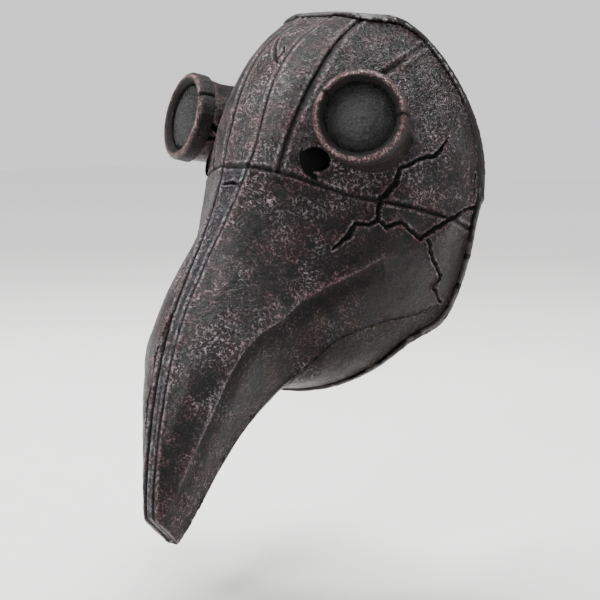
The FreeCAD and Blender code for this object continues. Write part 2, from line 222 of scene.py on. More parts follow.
def onOuterSkin(points):
    feet = np.zeros_like(points)
    normals = np.zeros_like(points)
    depth = np.zeros(len(points))
    for i, point in enumerate(points):
        feet[i], normals[i], _, depth[i] = outerSkin.find_nearest(point)
    return feet, normals, depth


def gapTo(node, points, limit):
    tree = nodeTree(node)
    gaps = np.full(len(points), limit)
    for i, point in enumerate(points):
        hit = tree.find_nearest(point, limit)
        if hit[0] is not None:
            gaps[i] = hit[3]
    return gaps


def family(node):
    for ending in ("_left", "_right"):
        node = node.replace(ending, "")
    return node


def seamStyle(first, second):
    pair = (family(first), family(second))
    if "rim_bead" in pair:
        return seamStyles[("rim", "skin")]
    if "goggle_tube" in pair:
        return seamStyles[("goggle", "skin")]
    for key in (pair, pair[::-1]):
        if key in seamStyles:
            return seamStyles[key]
    if "throat_panel" in pair or "beak_underside" in pair:
        return seamStyles[("cheek_panel", "under")]
    return seamStyles[("upper", "lower")]


def smoothStep(low, high, values):
    t = np.clip((values - low) / (high - low), 0, 1)
    return t * t * (3 - 2 * t)


def settleLine(line):
    # puts a line's points on the outer skin, with ragged steps between them
    settled = []
    for x, y, z, half in line:
        foot = outerSkin.find_nearest(Vector((x, y, z)))[0]
        settled.append((*foot, half))
    fine = []
    for a, b in zip(settled[:-1], settled[1:]):
        a, b = np.array(a), np.array(b)
        steps = max(1, int(np.linalg.norm(b[:3] - a[:3]) / crackShape["step"]))
        for k in range(steps):
            p = a + (b - a) * k / steps
            wander = noise.noise_vector(Vector(p[:3]) * 0.31)
            p[:3] += crackShape["wander"] * np.array(wander)
            foot = outerSkin.find_nearest(Vector(p[:3]))[0]
            fine.append((*foot, p[3]))
    fine.append(settled[-1])
    return np.array(fine)


def nearLine(points, line, reach):
    # distance to a line less its half width, for points within reach
    low = line[:, :3].min(axis=0) - reach
    high = line[:, :3].max(axis=0) + reach
    box = (points > low).all(axis=1) & (points < high).all(axis=1)
    gaps = np.full(len(points), 99.0)
    close = points[box]
    best = np.full(len(close), 99.0)
    for a, b in zip(line[:-1], line[1:]):
        run = b[:3] - a[:3]
        t = np.clip((close - a[:3]) @ run / (run @ run), 0, 1)
        gap = np.linalg.norm(close - (a[:3] + t[:, None] * run), axis=1)
        best = np.minimum(best, gap - (a[3] + (b[3] - a[3]) * t))
    gaps[box] = best
    return gaps


crackLines = {name: settleLine(line) for name, line in cracks.items()}


def crackGap(points):
    gaps = np.full(len(points), 99.0)
    for line in crackLines.values():
        gaps = np.minimum(gaps, nearLine(points, line, 12))
    return gaps


def creaseField(points):
    # signed distance from the beak crease, positive above it, and how strong it is there
    line = np.array(creaseLine, float)
    mirrored = points.copy()
    mirrored[:, 0] = abs(mirrored[:, 0])
    best = np.full(len(points), 1e9)
    signed = np.zeros(len(points))
    strength = np.zeros(len(points))
    count = len(line) - 1
    for i, (a, b) in enumerate(zip(line[:-1], line[1:])):
        run = b - a
        t = np.clip((mirrored - a) @ run / (run @ run), 0, 1)
        away = mirrored - (a + t[:, None] * run)
        gap = np.linalg.norm(away, axis=1)
        near = gap < best
        best[near] = gap[near]
        side = -(run[1] * away[:, 2] - run[2] * away[:, 1])
        signed[near] = (np.sign(side) * gap)[near]
        share = (i + t) / count
        strength[near] = (smoothStep(0.0, 0.22, share) * (1 - 0.6 * smoothStep(0.7, 1.0, share)))[near]
    return signed, strength


def relief(points, size, octaves=3):
    values = [noise.fractal(Vector(p) / size, 0.9, 2.1, octaves) for p in points]
    return np.array(values)


def refineNear(piece, gaps, zone):
    # finer faces where a crack runs
    mesh = piece.data
    pickOnly(piece)
    bpy.ops.object.mode_set(mode="EDIT")
    bpy.ops.mesh.select_mode(type="FACE")
    bpy.ops.mesh.select_all(action="DESELECT")
    bpy.ops.object.mode_set(mode="OBJECT")
    chosen = [bool(min(gaps[i] for i in p.vertices) < zone) for p in mesh.polygons]
    if not any(chosen):
        return
    mesh.polygons.foreach_set("select", chosen)
    bpy.ops.object.mode_set(mode="EDIT")
    bpy.ops.mesh.subdivide(number_cuts=1)
    bpy.ops.object.mode_set(mode="OBJECT")


def neighboursOf(node):
    low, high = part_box(node)
    found = []
    for other in skinNodes + ["rim_bead", "goggle_tube_left", "goggle_tube_right"]:
        a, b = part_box(other)
        if other != node and all(a[i] < high[i] + mm and b[i] > low[i] - mm for i in range(3)):
            found.append(other)
    return found


def sculptSkin(node):
    piece = copyOfNode(node, node + "_skin")
    evenMesh(piece, node, skinSettings["voxel"], skinSettings["smoothPasses"])
    mesh = piece.data
    refineNear(piece, crackGap(readPoints(mesh)), skinSettings["fineZone"])
    points = readPoints(mesh)
    feet, normals, depth = onOuterSkin(points)
    weight = 1 - smoothStep(0.4, 2.4, depth)

    height = skinSettings["reliefHeight"] * relief(feet, skinSettings["reliefSize"])
    form = np.zeros(len(points))      # moves the whole wall, inside and out
    groove = np.zeros(len(points))
    crest = np.zeros(len(points))
    calm = np.zeros(len(points))      # fewer brush strokes: sparse brushing low on the cheek, and painted shade below the crease
    sideways = readNormals(mesh)      # the direction out of the panel's cut edge
    sideways -= normals * (sideways * normals).sum(axis=1)[:, None]
    swell = np.zeros(len(points))
    for other in neighboursOf(node):
        style = seamStyle(node, other)
        gap = gapTo(other, points, style["width"] * 2 + 3)
        if style["depth"] > 0:
            cut = np.clip(1 - gap / style["width"], 0, 1) ** 1.4
            height -= style["depth"] * cut
            groove = np.maximum(groove, np.clip(1.25 * cut, 0, 1))
            lip = np.exp(-((gap - 1.35 * style["width"]) / 0.9) ** 2)
            height += style["lip"] * lip
            crest = np.maximum(crest, lip * min(1, style["lip"] * 2))
            # the middle of the wall meets its neighbour, so no light comes through the seam
            middle = smoothStep(0.8, 1.4, depth) * (1 - smoothStep(2.0, 2.5, depth))
            reach = 1.1 if other == "rim_bead" else 0.7
            swell = np.maximum(swell, reach * middle * (1 - smoothStep(0.3, 1.4, gap)))
        else:
            height -= style["depth"] * np.clip(1 - gap / style["width"], 0, 1) ** 2
            if family(other) != "goggle_tube":    # no gap shows here: the edge swells into its neighbour
                swell = np.maximum(swell, 0.8 * (1 - smoothStep(0.3, 1.4, gap)))
    points += sideways * swell[:, None]

    if family(node) == "cheek_panel":
        signed, strength = creaseField(feet)
        reach = creaseShape["reach"]
        above = np.exp(-(np.maximum(signed, 0) / reach) ** 2) * (signed > 0)
        below = np.exp(-((signed + 0.8 * reach) / reach) ** 2) * (signed <= 0)
        form += strength * (creaseShape["ridge"] * above - creaseShape["hollow"] * below)
        # the crease ridge: rubbed paint that is also a painted highlight
        crest = np.maximum(crest, strength * np.exp(-((signed - 0.6) / 1.7) ** 2))
        # painted shade in the hollow below the crease
        groove = np.maximum(groove, strength * 0.7 * np.exp(-((signed + 7) / 6) ** 2))
        calm = smoothStep(-85, -45, feet[:, 1]) * (1 - smoothStep(-40, -22, feet[:, 2]))
        # fewer strokes below the crease: painted shade, darker there
        calm = np.maximum(calm, 0.6 * strength * smoothStep(2, 10, -signed))
    if family(node) == "eye_panel":
        side = 1 if node.endswith("_left") else -1
        line = np.array([(side * x, y, z, 0.0) for x, y, z in dart["line"]])
        line[:, :3] = [outerSkin.find_nearest(Vector(point))[0] for point in line[:, :3]]
        gap = nearLine(feet, line, 10)
        height -= dart["depth"] * np.exp(-(gap / dart["width"]) ** 2)
        groove = np.maximum(groove, 0.95 * np.exp(-(gap / (0.8 * dart["width"])) ** 2))
        edge = np.exp(-((gap - 1.7 * dart["width"]) / 1.1) ** 2)
        height += dart["lip"] * edge
        crest = np.maximum(crest, 0.6 * edge)
    if node == "bridge_strip":
        form -= 0.7

    ragged = 0.45 * relief(feet, 2.5, 2)
    gap = crackGap(feet) + ragged - crackShape["wider"]
    crackCut = 1 - smoothStep(-0.9, 0.35, gap)
    height -= crackShape["deep"] * crackCut
    lip = np.exp(-((gap - 0.9) / 0.7) ** 2)
    height += crackShape["lip"] * lip * (gap > 0)
    crest = np.maximum(crest, 0.9 * lip)

    if family(node) == "eye_panel":
        side = 1 if node.endswith("_left") else -1
        axis = goggleAxis(side)
        centre = np.array(peep["centre"]) * (side, 1, 1)
        away = points - centre
        away -= (away @ axis)[:, None] * axis
        radius = np.linalg.norm(away, axis=1)
        pull = 1 - smoothStep(0.5, 5.0, radius - peep["radius"])
        shift = pull * peep["ragged"] * relief(away / np.maximum(radius, 1)[:, None] * 9 + centre, 3.2, 2)
        points += (shift / np.maximum(radius, 1))[:, None] * away
        rim = np.exp(-((radius - peep["radius"] - 0.8) / 0.9) ** 2)
        height += peep["lip"] * rim
        crest = np.maximum(crest, 0.9 * rim)

    points += normals * (form + height * weight)[:, None]
    writePoints(mesh, points)
    inside = smoothStep(0.5, 0.85, depth / skinSettings["wall"])
    writeMask(mesh, "groove", groove * (1 - inside))
    writeMask(mesh, "crest", crest * (1 - crackCut))
    writeMask(mesh, "crack", crackCut * (1 - inside))
    writeMask(mesh, "inside", inside)
    writeMask(mesh, "calm", calm)
    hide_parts(node)
    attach(piece, "mask")
    print("skin", node, len(mesh.polygons))
    return piece


def goggleAxis(side):
    yaw, pitch = math.radians(goggle["yaw"]), math.radians(goggle["pitch"])
    level = math.cos(pitch)
    return np.array((side * math.sin(yaw) * level, -math.cos(yaw) * level, math.sin(pitch)))


skins = [sculptSkin(node) for node in skinNodes]

# The goggles: the tube swells where it leaves the face, the ring carries two small nicks.
tubeCracks = [
    [(-53, -89, 57, .9), (-51, -86, 53, 1.6), (-48, -79, 46, 1.9), (-45, -72, 39, 1.9), (-45, -68, 33, 1.2)],
    [(-60, -87, 31, .7), (-56, -83, 32, 1.2), (-50, -77, 34, 1.4), (-46, -70, 34, 1.2)],
    [(-47, -66, 28, .8), (-52, -63, 23, .9), (-56, -60, 18, .3)],
]
# Degrees round each ring from its upward side, clockwise from the front.
ringNicks = {1: (56, -88), -1: (-60,)}
tubeShape = {"voxel": 1.1, "smoothPasses": 2, "fineZone": 2.5, "swell": 1.4, "waist": 1.2,
             "crack": 2.2, "lip": 0.5}
ringShape = {"voxel": 0.85, "smoothPasses": 6, "relief": 0.22, "nick": 1.5}
lensShape = {"voxel": 0.8, "smoothPasses": 5, "dent": 0.22, "crease": 0.25}


def roundParts(points, side):
    axis = goggleAxis(side)
    centre = np.array(goggle["centre"]) * (side, 1, 1)
    away = points - centre
    along = away @ axis
    radial = away - along[:, None] * axis
    radius = np.linalg.norm(radial, axis=1)
    return axis, along, radial, radius


def sculptTube(side, word):
    node = "goggle_tube_" + word
    piece = copyOfNode(node, "goggle_tube_skin_" + word)
    evenMesh(piece, node, tubeShape["voxel"], tubeShape["smoothPasses"])
    mesh = piece.data
    points = readPoints(mesh)
    lines = [np.array(line, float) for line in tubeCracks] if side < 0 else []
    gaps = np.full(len(points), 99.0)
    for line in lines:
        gaps = np.minimum(gaps, nearLine(points, line, 12))
    refineNear(piece, gaps, tubeShape["fineZone"])
    points = readPoints(mesh)
    along, radial, radius = roundParts(points, side)[1:]
    outer = smoothStep(26.5, 29.5, radius)
    gaps = np.full(len(points), 99.0)
    for line in lines:
        gaps = np.minimum(gaps, nearLine(points, line, 12))
    gaps += 0.3 * relief(points, 2.2, 2)
    cut = (1 - smoothStep(-0.8, 0.5, gaps)) * outer
    lip = np.exp(-((gaps - 1.1) / 0.8) ** 2) * outer
    face = gapTo("eye_panel_" + word, points, 12)
    swell = tubeShape["swell"] * np.clip(1 - face / 10, 0, 1) ** 2
    waist = -tubeShape["waist"] * np.exp(-((along + 22) / 9) ** 2)
    height = 0.35 * relief(points, 6.0) + swell + waist - tubeShape["crack"] * cut + tubeShape["lip"] * lip
    points += radial / np.maximum(radius, 1)[:, None] * (height * outer)[:, None]
    writePoints(mesh, points)
    # painted shade where the tube meets the face
    writeMask(mesh, "groove", 0.8 * np.exp(-(face / 2.5) ** 2) * outer)
    writeMask(mesh, "crest", lip + 0.5 * np.exp(-((along + 9) / 3) ** 2) * outer)
    writeMask(mesh, "crack", cut)
    writeMask(mesh, "inside", 1 - outer)
    writeMask(mesh, "calm", 0 * outer)
    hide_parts(node)
    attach(piece, "mask")
    return piece


def sculptRing(side, word):
    node = "goggle_ring_" + word
    piece = copyOfNode(node, "goggle_ring_lip_" + word)
    evenMesh(piece, node, ringShape["voxel"], ringShape["smoothPasses"], hug=False)
    mesh = piece.data
    points = readPoints(mesh)
    axis, along, radial, radius = roundParts(points, side)
    across = np.cross(axis, (0, 0, 1))
    across /= np.linalg.norm(across)
    up = np.cross(across, axis)
    angle = np.degrees(np.arctan2(radial @ across, radial @ up))
    normals = readNormals(mesh)
    nick = np.zeros(len(points))
    for place in ringNicks[side]:
        turn = (angle - place + 180) % 360 - 180
        wander = 1.2 * relief(points, 3.0, 2)
        nick = np.maximum(nick, np.exp(-((turn * 0.5 + wander) / 1.0) ** 2))
    height = ringShape["relief"] * relief(points, 5.0) - ringShape["nick"] * nick
    points += normals * height[:, None]
    writePoints(mesh, points)
    inner = 1 - smoothStep(27.0, 29.0, radius)
    # painted shade in the ring's bore and towards its back
    writeMask(mesh, "groove", np.maximum(inner, 0.75 * (1 - smoothStep(0.5, 3.5, along))))
    writeMask(mesh, "crest", np.exp(-((radius - 30.3) / 1.5) ** 2) * smoothStep(0.5, 3, along))
    writeMask(mesh, "crack", nick)
    writeMask(mesh, "inside", 0 * nick)
    writeMask(mesh, "calm", 0 * nick)
    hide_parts(node)
    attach(piece, "mask")
    return piece


def sculptLens(side, word):
    node = "lens_" + word
    piece = copyOfNode(node, "lens_dome_" + word)
    evenMesh(piece, node, lensShape["voxel"], lensShape["smoothPasses"], hug=False)
    mesh = piece.data
    points = readPoints(mesh)
    axis, along, _, radius = roundParts(points, side)
    front = smoothStep(-3, 0, along) * (1 - smoothStep(23.0, 24.5, radius))
    dents = lensShape["dent"] * relief(points, 3.4, 4)
    creases = dents - lensShape["crease"] * abs(relief(points + 40, 2.2, 2))
    points += axis * (front * creases)[:, None]
    writePoints(mesh, points)
    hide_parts(node)
    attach(piece, "mask")
    return piece


tubes, rings, lenses = [], [], []
for side, word in ((1, "left"), (-1, "right")):
    tubes.append(sculptTube(side, word))
    rings.append(sculptRing(side, word))
    lenses.append(sculptLens(side, word))
print("goggles done")

# A black sheet stuck inside over each small hole, painted shade that keeps the hole dark, so that the eye
# behind it doesn't show.
shadeSheetSettings = {"radius": 14.0, "thick": 0.4, "behind": 0.6, "bulge": 0.5, "shift": 3.0}


def shadeSheetPatch(side, word):
    axis = goggleAxis(side)
    centre = np.array(peep["centre"]) * (side, 1, 1)
    across = np.cross(axis, (0, 0, 1))
    across /= np.linalg.norm(across)
    up = np.cross(across, axis)
    feet, normals = [], []
    for step in range(12):
        turn = 2 * math.pi * step / 12
        around = centre + (peep["radius"] + 1.5) * (math.cos(turn) * across + math.sin(turn) * up)
        foot, normal = outerSkin.find_nearest(Vector(around))[:2]
        feet.append(foot)
        normals.append(normal)
    normal = sum(normals, Vector()).normalized()
    middle = sum(feet, Vector()) / 12 - normal * (skinSettings["wall"] + shadeSheetSettings["behind"])
    middle += Vector((side, 0, 0)) * shadeSheetSettings["shift"]
    deselectAll()
    bpy.ops.mesh.primitive_circle_add(vertices=48, radius=shadeSheetSettings["radius"] * mm, fill_type="NGON")
    patch = bpy.context.object
    patch.name = "peep_shade_sheet_" + word
    bpy.ops.object.mode_set(mode="EDIT")
    bpy.ops.mesh.select_all(action="SELECT")
    for _ in range(4):
        bpy.ops.mesh.inset(thickness=shadeSheetSettings["radius"] / 5 * mm, depth=shadeSheetSettings["bulge"] / 4 * mm)
    bpy.ops.object.mode_set(mode="OBJECT")
    applyModifier(patch, "SOLIDIFY", thickness=shadeSheetSettings["thick"] * mm, offset=0.0)
    patch.matrix_world = Matrix.Translation(middle * mm) @ normal.to_track_quat("Z", "Y").to_matrix().to_4x4()
    pickOnly(patch)
    bpy.ops.object.transform_apply(location=True, rotation=True, scale=True)
    bpy.ops.object.shade_smooth_by_angle(angle=math.radians(40))
    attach(patch, "mask")
    return patch


shadeSheets = [shadeSheetPatch(1, "left"), shadeSheetPatch(-1, "right")]

# The rolled rim: a soft bead, slightly uneven.
rimShape = {"voxel": 1.2, "smoothPasses": 5, "relief": 0.35, "reliefSize": 7.0, "proud": 0.6}
rim = copyOfNode("rim_bead", "rolled_rim")
evenMesh(rim, "rim_bead", rimShape["voxel"], rimShape["smoothPasses"], hug=False)
rimPoints = readPoints(rim.data)
rimNormals = readNormals(rim.data)
rimRelief = rimShape["relief"] * relief(rimPoints, rimShape["reliefSize"])
rimPoints += rimNormals * rimRelief[:, None] + rimNormals * rimShape["proud"]
writePoints(rim.data, rimPoints)
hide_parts("rim_bead")
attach(rim, "mask")

# The elastic strap: rounded edges and a map that runs along it.
strapShape = {"halfSpan": 91.2, "start": 32.0, "arm": 58.0, "back": 85.0, "middle": 58.0}
strap = copyOfNode("strap_band", "woven_strap")
applyModifier(strap, "BEVEL", width=0.5 * mm, segments=2, limit_method="ANGLE", angle_limit=math.radians(40))
pickOnly(strap)
bpy.ops.object.shade_smooth_by_angle(angle=math.radians(35))
halfRoute = [(strapShape["halfSpan"], strapShape["start"]), (strapShape["halfSpan"], strapShape["arm"]),
             (strapShape["middle"], strapShape["back"])]
route = np.array(halfRoute + [(-x, y) for x, y in halfRoute[::-1]])
strapPoints = readPoints(strap.data)
along = np.zeros(len(strapPoints))
best = np.full(len(strapPoints), 1e9)
travelled = 0.0
for a, b in zip(route[:-1], route[1:]):
    run = b - a
    length = np.linalg.norm(run)
    t = np.clip((strapPoints[:, :2] - a) @ run / (run @ run), 0, 1)
    gap = np.linalg.norm(strapPoints[:, :2] - (a + t[:, None] * run), axis=1)
    near = gap < best
    best[near] = gap[near]
    along[near] = (travelled + t * length)[near]
    travelled += length
weave = strap.data.uv_layers.new(name="weave")
for loop in strap.data.loops:
    weave.data[loop.index].uv = (along[loop.vertex_index] * mm, strapPoints[loop.vertex_index][2] * mm)
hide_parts("strap_band")
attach(strap, "strap")

slider = copyOfNode("strap_slider", "slider_body")
applyModifier(slider, "BEVEL", width=0.7 * mm, segments=3, limit_method="ANGLE", angle_limit=math.radians(40))
pickOnly(slider)
bpy.ops.object.shade_smooth_by_angle(angle=math.radians(35))
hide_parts("strap_slider")
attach(slider, "slider")
print("rim and strap done")


def colour(code):
    channels = [int(code[i:i + 2], 16) / 255 for i in (1, 3, 5)]
    linear = [c / 12.92 if c <= 0.04045 else ((c + 0.055) / 1.055) ** 2.4 for c in channels]
    return (*linear, 1.0)


def grey(value):
    return (value, value, value, 1.0)


def addNode(tree, kind, inputs=None, stops=None, out=0, **settings):
    # adds one node; inputs are values or other nodes' sockets, stops fill a colour ramp; returns a socket
    node = tree.nodes.new(kind)
    for name, value in settings.items():
        setattr(node, name, value)
    for socket, value in (inputs or {}).items():
        if isinstance(value, bpy.types.NodeSocket):
            tree.links.new(value, node.inputs[socket])
        else:
            node.inputs[socket].default_value = value
    if stops:
        marks = node.color_ramp.elements
        marks[0].position, marks[0].color = stops[0]
        marks[1].position, marks[1].color = stops[-1]
        for place, value in stops[1:-1]:
            marks.new(place).color = value
    return node.outputs[out]


def newMaterial(name):
    material = bpy.data.materials.new(name)
    material.use_nodes = True
    return material, material.node_tree, material.node_tree.nodes["Principled BSDF"]


math1, mixer, rampKind = "ShaderNodeMath", "ShaderNodeMix", "ShaderNodeValToRGB"
noiseKind, cellKind, bumpKind = "ShaderNodeTexNoise", "ShaderNodeTexVoronoi", "ShaderNodeBump"
asColour = dict(out=2, data_type="RGBA")    # what a mixer needs to mix colours

# Latex, cast in a mould and cured matt, sprayed charcoal and then dry-brushed with copper and pewter paint:
# the eye gets a dark, slightly waxy skin whose hair-fine wrinkles carry broken metallic strokes.
latexLooks = {
    "cast latex, charcoal with pewter": dict(
        dark="#050405", body="#100e0f", warm="#1d110f", copper="#957176", silver="#b8a9b1",
        copperAmount=0.9, silverAmount=0.85, wrinkle=3.0, rough=0.34, raw="#24211f", metal=0.6, sheen=0.26),
    "cast latex, copper on the crown": dict(
        dark="#070606", body="#151112", warm="#271613", copper="#987378", silver="#c3b4bb",
        copperAmount=0.9, silverAmount=0.85, wrinkle=2.7, rough=0.36, raw="#24211f", metal=0.6, sheen=0.30),
    "cast latex, bridge band": dict(
        dark="#08080a", body="#131316", warm="#181415", copper="#8d6f74", silver="#b3adb8",
        copperAmount=0.5, silverAmount=0.5, wrinkle=3.4, rough=0.30, raw="#24211f", metal=0.6, sheen=0.26),
    "cast latex, under the jaw": dict(
        dark="#080705", body="#14120f", warm="#1e140f", copper="#6f5c55", silver="#a39c96",
        copperAmount=0.5, silverAmount=0.45, wrinkle=3.6, rough=0.38, raw="#24211f", metal=0.6, sheen=0.22),
    "cast latex, rubbed copper": dict(
        dark="#080606", body="#151010", warm="#261714", copper="#a37a78", silver="#cfa9aa",
        copperAmount=0.65, silverAmount=0.4, wrinkle=2.2, rough=0.34, raw="#141212", metal=0.6, sheen=0.26),
}


def makeLatex(name):
    look = latexLooks[name]
    material, tree, shader = newMaterial(name)
    place = addNode(tree, "ShaderNodeTexCoord", out="Object")
    groove, crest, crack, inside, calm = [
        addNode(tree, "ShaderNodeAttribute", attribute_name=mask, out="Fac")
        for mask in ("groove", "crest", "crack", "inside", "calm")]
    size = look["wrinkle"] * mm
    bend = addNode(tree, noiseKind, {"Vector": place, "Scale": 0.5 / size, "Detail": 3.0}, out="Color")
    bent = addNode(tree, "ShaderNodeVectorMath", {0: bend, "Scale": 1.8 * size}, operation="SCALE")
    warped = addNode(tree, "ShaderNodeVectorMath", {0: place, 1: bent}, operation="ADD")
    cells = addNode(tree, cellKind, {"Vector": warped, "Scale": 1 / size}, feature="DISTANCE_TO_EDGE")
    smallCells = addNode(tree, cellKind, {"Vector": warped, "Scale": 2.1 / size}, feature="DISTANCE_TO_EDGE")
    fine = addNode(tree, noiseKind, {"Vector": warped, "Scale": 1.4 / size, "Detail": 5.0, "Roughness": 0.65})
    broad = addNode(tree, noiseKind, {"Vector": place, "Scale": 1 / (26 * mm), "Detail": 3.0})
    patch = addNode(tree, noiseKind, {"Vector": place, "Scale": 1 / (15 * mm), "Detail": 5.0,
                                      "Roughness": 0.6, "Distortion": 0.6})
    veins = addNode(tree, rampKind, {"Fac": cells}, [(0.0, grey(1)), (0.05, grey(0.6)), (0.10, grey(0))])
    smallVeins = addNode(tree, rampKind, {"Fac": smallCells}, [(0.0, grey(0.8)), (0.09, grey(0))])
    specks = addNode(tree, rampKind, {"Fac": fine}, [(0.49, grey(0)), (0.58, grey(1))])
    dabs = addNode(tree, rampKind, {"Fac": fine}, [(0.66, grey(0)), (0.78, grey(0.35))])
    lines = addNode(tree, math1, {0: veins, 1: smallVeins}, operation="MAXIMUM")
    broken = addNode(tree, math1, {0: lines, 1: specks}, operation="MULTIPLY")
    strokes = addNode(tree, math1, {0: broken, 1: dabs}, operation="MAXIMUM")
    brushed = addNode(tree, math1, {0: calm, 1: -0.85, 2: 1.0}, operation="MULTIPLY_ADD")
    strokes = addNode(tree, math1, {0: strokes, 1: brushed}, operation="MULTIPLY")
    light = addNode(tree, rampKind, {"Fac": broad}, [(0.36, grey(0)), (0.64, grey(1))])
    reddish = addNode(tree, rampKind, {"Fac": patch}, [(0.44, grey(0)), (0.60, grey(1))])
    ground = addNode(tree, mixer, {"Factor": light, 6: colour(look["dark"]), 7: colour(look["body"])},
                     **asColour)
    ground = addNode(tree, mixer, {"Factor": reddish, 6: ground, 7: colour(look["warm"])}, **asColour)
    copperMask = addNode(tree, math1, {0: strokes, 1: reddish}, operation="MULTIPLY")
    copperMask = addNode(tree, math1, {0: copperMask, 1: look["copperAmount"]}, operation="MULTIPLY",
                         use_clamp=True)
    ground = addNode(tree, mixer, {"Factor": copperMask, 6: ground, 7: colour(look["copper"])}, **asColour)
    pewterPatch = addNode(tree, rampKind, {"Fac": broad}, [(0.46, grey(0.08)), (0.64, grey(1))])
    pewterMask = addNode(tree, math1, {0: strokes, 1: pewterPatch}, operation="MULTIPLY")
    pewterMask = addNode(tree, math1, {0: pewterMask, 1: look["silverAmount"]}, operation="MULTIPLY",
                         use_clamp=True)
    ground = addNode(tree, mixer, {"Factor": pewterMask, 6: ground, 7: colour(look["silver"])}, **asColour)
    # rubbed paint on raised edges and lips; along the crease ridge it is also a painted highlight
    wear = addNode(tree, math1, {0: specks, 1: 0.6, 2: 0.12}, operation="MULTIPLY_ADD")
    rubbed = addNode(tree, math1, {0: crest, 1: wear}, operation="MULTIPLY", use_clamp=True)
    paint = addNode(tree, mixer, {"Factor": reddish, 6: colour(look["silver"]), 7: colour(look["copper"])},
                    **asColour)
    ground = addNode(tree, mixer, {"Factor": rubbed, 6: ground, 7: paint}, **asColour)
    # near black in the grooves: dark paint left in the seams and the dart, and painted shade below the
    # crease, where the tubes meet the face and in the rings' bores
    hollow = addNode(tree, math1, {0: groove, 1: 0.9}, operation="MULTIPLY")
    ground = addNode(tree, mixer, {"Factor": hollow, 6: ground, 7: colour("#080707")}, **asColour)
    ground = addNode(tree, mixer, {"Factor": crack, 6: ground, 7: colour("#030303")}, **asColour)
    ground = addNode(tree, mixer, {"Factor": inside, 6: ground, 7: colour(look["raw"])}, **asColour)
    tree.links.new(ground, shader.inputs["Base Color"])
    rough = addNode(tree, math1, {0: fine, 1: 0.3, 2: look["rough"] - 0.13}, operation="MULTIPLY_ADD")
    rough = addNode(tree, math1, {0: crack, 1: 0.4, 2: rough}, operation="MULTIPLY_ADD")
    rough = addNode(tree, math1, {0: groove, 1: 0.3, 2: rough}, operation="MULTIPLY_ADD")
    flakes = addNode(tree, math1, {0: copperMask, 1: pewterMask}, operation="MAXIMUM")
    flakes = addNode(tree, math1, {0: flakes, 1: rubbed}, operation="MAXIMUM")
    flakes = addNode(tree, math1, {0: flakes, 1: look["metal"]}, operation="MULTIPLY", use_clamp=True)
    tree.links.new(flakes, shader.inputs["Metallic"])
    rough = addNode(tree, math1, {0: flakes, 1: -0.06, 2: rough}, operation="MULTIPLY_ADD")
    tree.links.new(rough, shader.inputs["Roughness"])
    shader.inputs["Specular IOR Level"].default_value = look["sheen"]
    ridges = addNode(tree, math1, {0: lines, 1: 0.55, 2: fine}, operation="MULTIPLY_ADD")
    outside = addNode(tree, math1, {0: 1.0, 1: inside}, operation="SUBTRACT")
    hill = addNode(tree, math1, {0: ridges, 1: outside}, operation="MULTIPLY")
    bump = addNode(tree, bumpKind, {"Height": hill, "Strength": 1.0, "Distance": 1.5 * mm}, out="Normal")
    tree.links.new(bump, shader.inputs["Normal"])
    return material


# Plain coloured plastics and paint; grain is the size of the mould texture in mm.
darkLooks = {
    "rolled latex edge": dict(base="#0c0a0a", light="#2b1f1e", grain=2.4, low=0.35, spread=0.4, rise=0.4,
                              spec=0.4),
    "vacuum formed black styrene": dict(base="#030303", light="#0c0c0c", grain=1.6, low=0.12, spread=0.26,
                                        rise=3.2, spec=0.32),
    "moulded black acetal": dict(base="#101011", light="#19191a", grain=0.6, low=0.35, spread=0.15, rise=0.05,
                                 spec=0.5),
    "black sheet for painted shade": dict(base="#020202", light="#060606", grain=0.8, low=0.8, spread=0.15, rise=0.3,
                              spec=0.1),
}


def makeDark(name):
    look = darkLooks[name]
    material, tree, shader = newMaterial(name)
    place = addNode(tree, "ShaderNodeTexCoord", out="Object")
    grain = look["grain"] * mm
    fine = addNode(tree, noiseKind, {"Vector": place, "Scale": 1 / grain, "Detail": 6.0, "Roughness": 0.62,
                                     "Distortion": 0.6})
    cells = addNode(tree, cellKind, {"Vector": place, "Scale": 0.5 / grain}, feature="DISTANCE_TO_EDGE")
    lit = addNode(tree, rampKind, {"Fac": fine}, [(0.42, grey(0)), (0.72, grey(1))])
    shade = addNode(tree, mixer, {"Factor": lit, 6: colour(look["base"]), 7: colour(look["light"])},
                    **asColour)
    tree.links.new(shade, shader.inputs["Base Color"])
    rough = addNode(tree, math1, {0: fine, 1: look["spread"], 2: look["low"]}, operation="MULTIPLY_ADD")
    tree.links.new(rough, shader.inputs["Roughness"])
    shader.inputs["Specular IOR Level"].default_value = look["spec"]
    hill = addNode(tree, math1, {0: cells, 1: 0.5, 2: fine}, operation="MULTIPLY_ADD")
    bump = addNode(tree, bumpKind, {"Height": hill, "Strength": 0.7, "Distance": look["rise"] * mm},
                   out="Normal")
    tree.links.new(bump, shader.inputs["Normal"])
    return material


